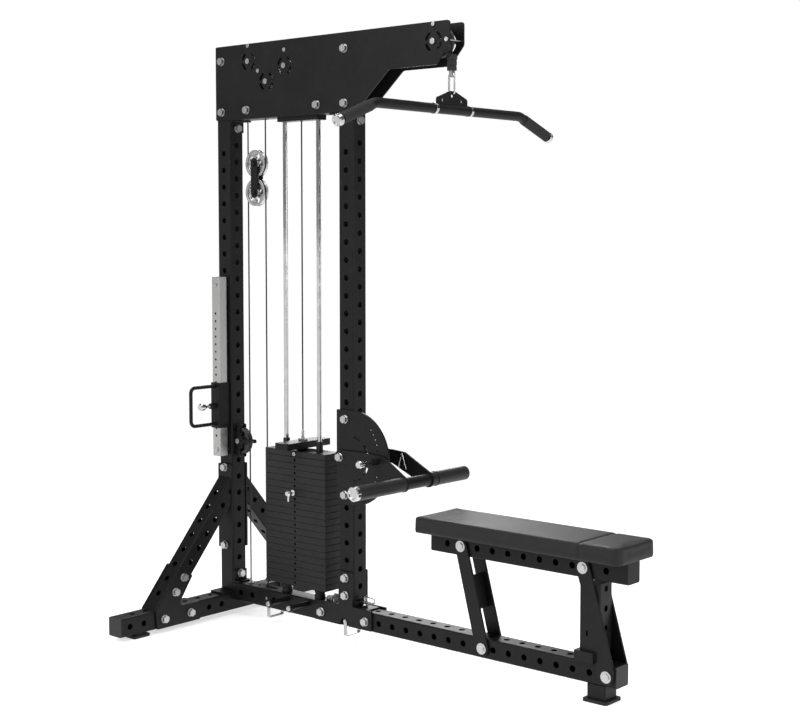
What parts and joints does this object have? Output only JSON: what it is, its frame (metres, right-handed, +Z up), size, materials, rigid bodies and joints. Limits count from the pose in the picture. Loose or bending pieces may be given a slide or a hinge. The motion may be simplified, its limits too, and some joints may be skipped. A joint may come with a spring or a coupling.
{
  "type": "cable tower with bench",
  "caption": "Lat pulldown and low row tower: weight stack, boom pulleys, lat bar, thigh rollers, height-adjustable rail handle and fold-over bench.",
  "frame": {"origin": "middle of the footprint's bounding box, on the floor", "axes": "+X from the rear upright to the bench, +Z up, -Y the side with the adjustable rail"},
  "size_m": [2.078, 1.282, 2.399],
  "materials": {
    "black_coat": "satin black powder coat on steel",
    "black_plastic": "black moulded plastic",
    "black_nylon": "black turned nylon",
    "rubber": "black rubber",
    "zinc": "zinc plated steel",
    "chrome": "bright chrome plate",
    "brushed_tube": "brushed stainless tube",
    "aluminium": "turned aluminium",
    "cast_weight": "black painted cast iron",
    "cable_jacket": "black plastic jacket over steel cable",
    "vinyl": "black grained vinyl over foam"
  },
  "bodies": {
    "frame": {"crossmember": "black_coat", "rail": "black_coat", "rear_upright": "black_coat", "front_upright": "black_coat", "tube_caps": "black_plastic", "rubber_parts": "rubber", "braces": "black_coat", "gussets": "black_coat", "brackets": "black_coat", "top_plates": "black_coat", "crossbeam": "black_coat", "guide_rods": "chrome", "frame_bolts": "zinc", "pulley_bolts": "zinc", "band_pegs": "black_coat", "zinc_brackets": "zinc", "slide_tube": "brushed_tube", "guide_bracket": "black_coat", "quadrant_plate": "black_coat", "lower_weights": "cast_weight", "cables_fixed": "cable_jacket", "cable_stack": "cable_jacket", "cable_lat": "cable_jacket", "cable_up": "cable_jacket", "cable_down": "cable_jacket", "cable_low": "cable_jacket"},
    "stack": {"head_plate": "cast_weight", "head_bar": "black_coat", "head_bolt": "zinc", "stem": "zinc", "rod_bushings": "black_plastic", "upper_weights": "cast_weight"},
    "selector": {"selector_pin": "chrome"},
    "lat_end": {"lat_stopper": "rubber", "lat_carabiner": "chrome"},
    "lat_handle": {"lat_bar": "black_coat", "lat_bar_trim": "chrome"},
    "float": {"float_block": "black_coat", "cable_wraps": "cable_jacket"},
    "low_end": {"low_hook": "chrome"},
    "arm": {"arm_frame": "black_coat", "roller_sleeves": "black_plastic", "arm_trim": "chrome"},
    "arm_lock": {"arm_pin": "chrome"},
    "slider": {"carriage": "black_coat"},
    "slider_lock": {"carriage_pin": "chrome"},
    "front_legs": {"front_link": "black_coat"},
    "rear_legs": {"rear_link": "black_coat"},
    "bench": {"bench_beam": "black_coat", "bench_pad": "vinyl", "bench_bolts": "zinc"},
    "wheel_boom_rear": {"pulley_boom_rear": "aluminium"},
    "wheel_boom_low": {"pulley_boom_low": "aluminium"},
    "wheel_stack": {"pulley_stack": "aluminium"},
    "wheel_boom_tip": {"pulley_boom_tip": "black_nylon"},
    "wheel_float_top": {"pulley_float_top": "aluminium"},
    "wheel_float_bottom": {"pulley_float_bottom": "aluminium"},
    "wheel_guide": {"pulley_guide": "black_nylon"},
    "wheel_low_rear": {"pulley_low_rear": "black_nylon"},
    "wheel_low_front": {"pulley_low_front": "black_nylon"}
  },
  "joints": [
    {"name": "stack_lift", "type": "slide", "parent": "frame", "child": "stack", "axis": [0, 0, 1], "range_m": [0, 1.05], "deforming": ["cable_stack"]},
    {"name": "lat_drop", "type": "slide", "parent": "frame", "child": "lat_end", "axis": [0, 0, -1], "range_m": [0, 1.05], "deforming": ["cable_lat"]},
    {"name": "lat_swing", "type": "hinge", "parent": "lat_end", "child": "lat_handle", "pos_m": [0.221, 0, 2.1286], "axis": [1, 0, 0], "range_deg": [-20, 20]},
    {"name": "selector_pull", "type": "slide", "parent": "stack", "child": "selector", "axis": [0, -1, 0], "range_m": [0, 0.07]},
    {"name": "float_drop", "type": "slide", "parent": "frame", "child": "float", "axis": [0, 0, -1], "range_m": [0, 0.45], "deforming": ["cable_up", "cable_down"]},
    {"name": "low_lift", "type": "slide", "parent": "frame", "child": "low_end", "axis": [0, 0, 1], "range_m": [0, 0.9], "deforming": ["cable_low"]},
    {"name": "wheel_stack_turn", "type": "hinge", "parent": "frame", "child": "wheel_stack", "pos_m": [-0.608, 0, 2.295], "axis": [0, -1, 0], "range_deg": [0, 1157.93]},
    {"name": "wheel_boom_low_turn", "type": "hinge", "parent": "frame", "child": "wheel_boom_low", "pos_m": [-0.713, 0, 2.239], "axis": [0, -1, 0], "range_deg": [0, 1157.93]},
    {"name": "wheel_float_top_turn", "type": "hinge", "parent": "float", "child": "wheel_float_top", "pos_m": [-0.817, 0, 1.9105], "axis": [0, 1, 0], "range_deg": [0, 1157.93]},
    {"name": "wheel_boom_rear_turn", "type": "hinge", "parent": "frame", "child": "wheel_boom_rear", "pos_m": [-0.817, 0, 2.327], "axis": [0, 1, 0], "range_deg": [0, 1157.93]},
    {"name": "wheel_boom_tip_turn", "type": "hinge", "parent": "frame", "child": "wheel_boom_tip", "pos_m": [0.169, 0, 2.327], "axis": [0, 1, 0], "range_deg": [0, 1157.93]},
    {"name": "wheel_float_bottom_turn", "type": "hinge", "parent": "float", "child": "wheel_float_bottom", "pos_m": [-0.817, 0, 1.793], "axis": [0, 1, 0], "range_deg": [0, 496.83]},
    {"name": "wheel_low_rear_turn", "type": "hinge", "parent": "frame", "child": "wheel_low_rear", "pos_m": [-0.737, 0, 0.101], "axis": [0, -1, 0], "range_deg": [0, 1842.65]},
    {"name": "wheel_low_front_turn", "type": "hinge", "parent": "frame", "child": "wheel_low_front", "pos_m": [-0.244, 0, 0.101], "axis": [0, -1, 0], "range_deg": [0, 1842.65]},
    {"name": "wheel_guide_turn", "type": "hinge", "parent": "frame", "child": "wheel_guide", "pos_m": [-0.921, 0, 0.745], "axis": [0, 1, 0], "continuous": true},
    {"name": "arm_turn", "type": "hinge", "parent": "frame", "child": "arm", "pos_m": [-0.298, 0, 0.742], "axis": [0, -1, 0], "range_deg": [-25.2, 37.8]},
    {"name": "arm_pin_pull", "type": "slide", "parent": "arm", "child": "arm_lock", "axis": [0, -1, 0], "range_m": [0, 0.012]},
    {"name": "slider_move", "type": "slide", "parent": "frame", "child": "slider", "axis": [0, 0, 1], "range_m": [-0.07, 0.38]},
    {"name": "slider_pin_pull", "type": "slide", "parent": "slider", "child": "slider_lock", "axis": [0, -1, 0], "range_m": [0, 0.012]},
    {"name": "front_legs_swing", "type": "hinge", "parent": "frame", "child": "front_legs", "pos_m": [0.406, 0, 0.101], "axis": [0, 1, 0], "range_deg": [0, 60]},
    {"name": "rear_legs_swing", "type": "hinge", "parent": "frame", "child": "rear_legs", "pos_m": [0.946, 0, 0.101], "axis": [0, 1, 0], "range_deg": [0, 60]},
    {"name": "bench_level", "type": "hinge", "parent": "front_legs", "child": "bench", "pos_m": [0.306, 0, 0.468], "axis": [0, -1, 0], "range_deg": [0, 60]}
  ],
  "couplings": [
    {"joint": "lat_drop", "follows": "stack_lift", "ratio": 1},
    {"joint": "wheel_stack_turn", "follows": "stack_lift", "rad_per_m": 19.231},
    {"joint": "wheel_boom_low_turn", "follows": "stack_lift", "rad_per_m": 19.231},
    {"joint": "wheel_float_top_turn", "follows": "stack_lift", "rad_per_m": 19.231},
    {"joint": "wheel_boom_rear_turn", "follows": "stack_lift", "rad_per_m": 19.231},
    {"joint": "wheel_boom_tip_turn", "follows": "stack_lift", "rad_per_m": 19.231},
    {"joint": "low_lift", "follows": "float_drop", "ratio": 2},
    {"joint": "wheel_float_bottom_turn", "follows": "float_drop", "rad_per_m": 19.231},
    {"joint": "wheel_low_rear_turn", "follows": "float_drop", "rad_per_m": 71.429},
    {"joint": "wheel_low_front_turn", "follows": "float_drop", "rad_per_m": 71.429},
    {"joint": "rear_legs_swing", "follows": "front_legs_swing", "ratio": 1},
    {"joint": "bench_level", "follows": "front_legs_swing", "ratio": 1}
  ]
}
